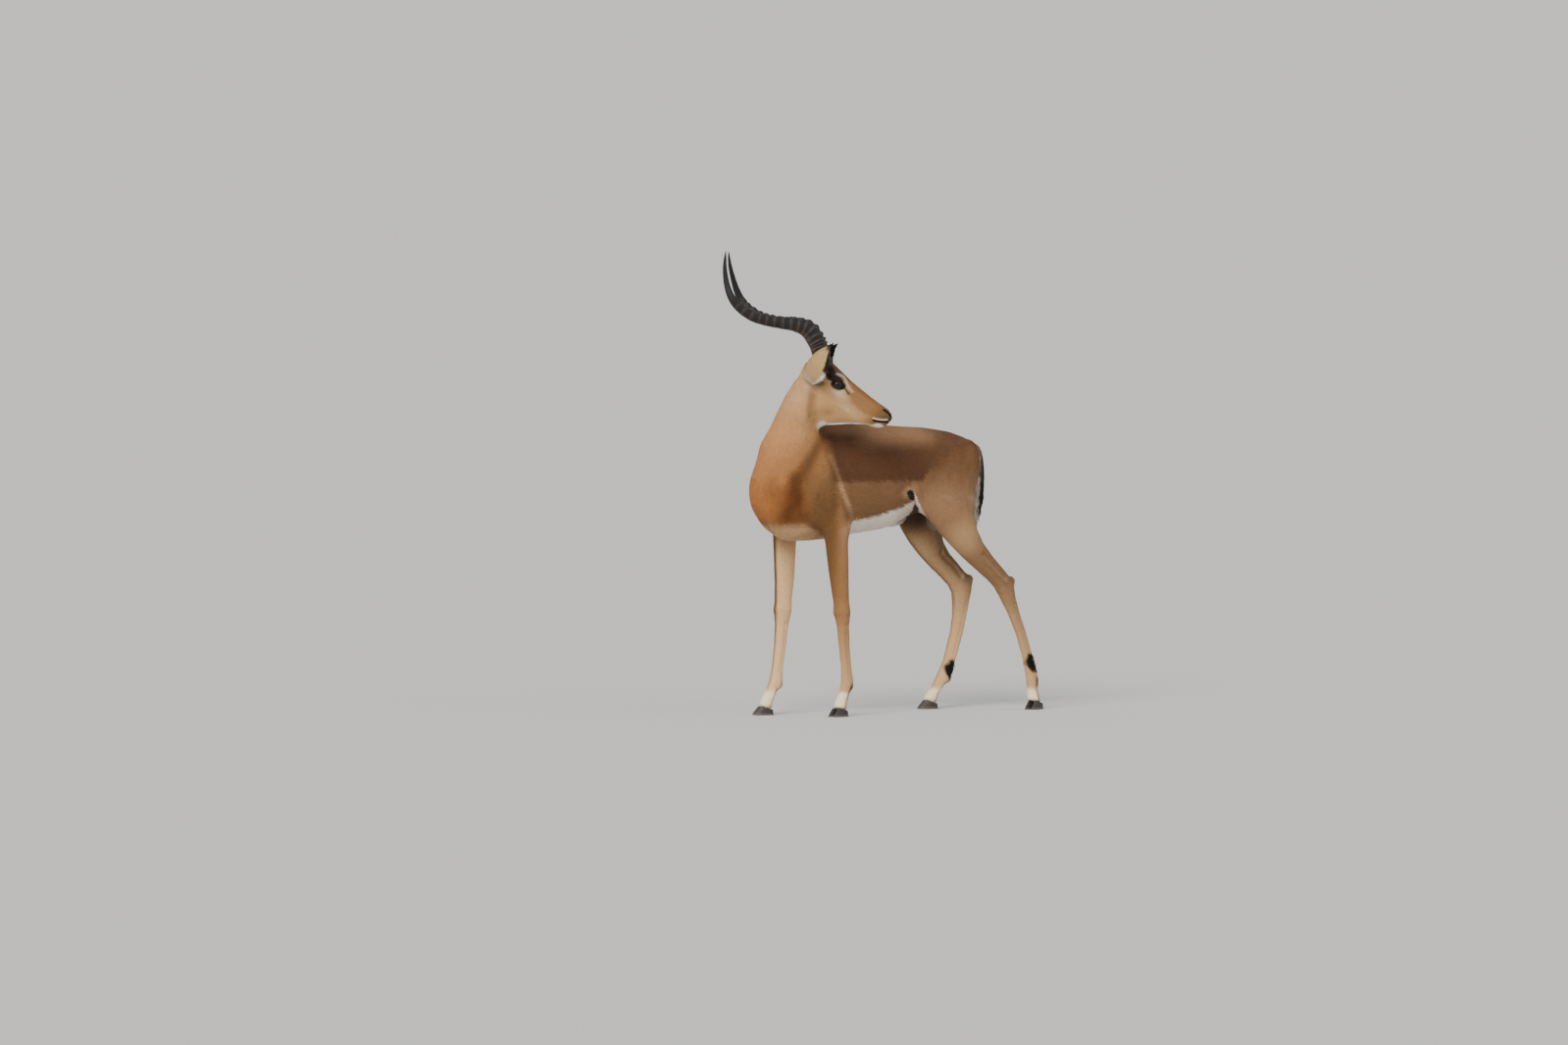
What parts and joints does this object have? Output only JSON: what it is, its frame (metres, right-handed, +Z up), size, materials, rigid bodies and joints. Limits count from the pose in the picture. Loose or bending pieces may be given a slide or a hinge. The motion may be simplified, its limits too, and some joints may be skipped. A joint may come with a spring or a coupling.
{
  "type": "impala antelope",
  "caption": "Standing impala ram, life size, with lyre-shaped ringed horns, its head turned back over its left shoulder and its hind feet apart.",
  "frame": {"origin": "on the floor, under the middle of the whole object's box", "axes": "+Z up; -X the way the body faces; -Y the animal's left"},
  "size_m": [1.158, 0.454, 1.469],
  "materials": {
    "coat": "short flat hair, red-brown saddle, tan sides, white belly",
    "horn": "ringed black keratin, smooth towards the tip",
    "eye": "wet, very dark brown",
    "hoof": "worn black keratin"
  },
  "bodies": {
    "root": {"head": "coat", "neck": "coat", "trunk": "coat", "foreleg_left": "coat", "foreleg_right": "coat", "hindleg_left": "coat", "hindleg_right": "coat", "tail": "coat", "ear_left": "coat", "ear_right": "coat", "horn_left": "horn", "horn_right": "horn", "eye_left": "eye", "eye_right": "eye", "claw_foreleg_left_a": "hoof", "claw_foreleg_left_b": "hoof", "claw_foreleg_right_a": "hoof", "claw_foreleg_right_b": "hoof", "claw_hindleg_left_a": "hoof", "claw_hindleg_left_b": "hoof", "claw_hindleg_right_a": "hoof", "claw_hindleg_right_b": "hoof"}
  },
  "joints": []
}
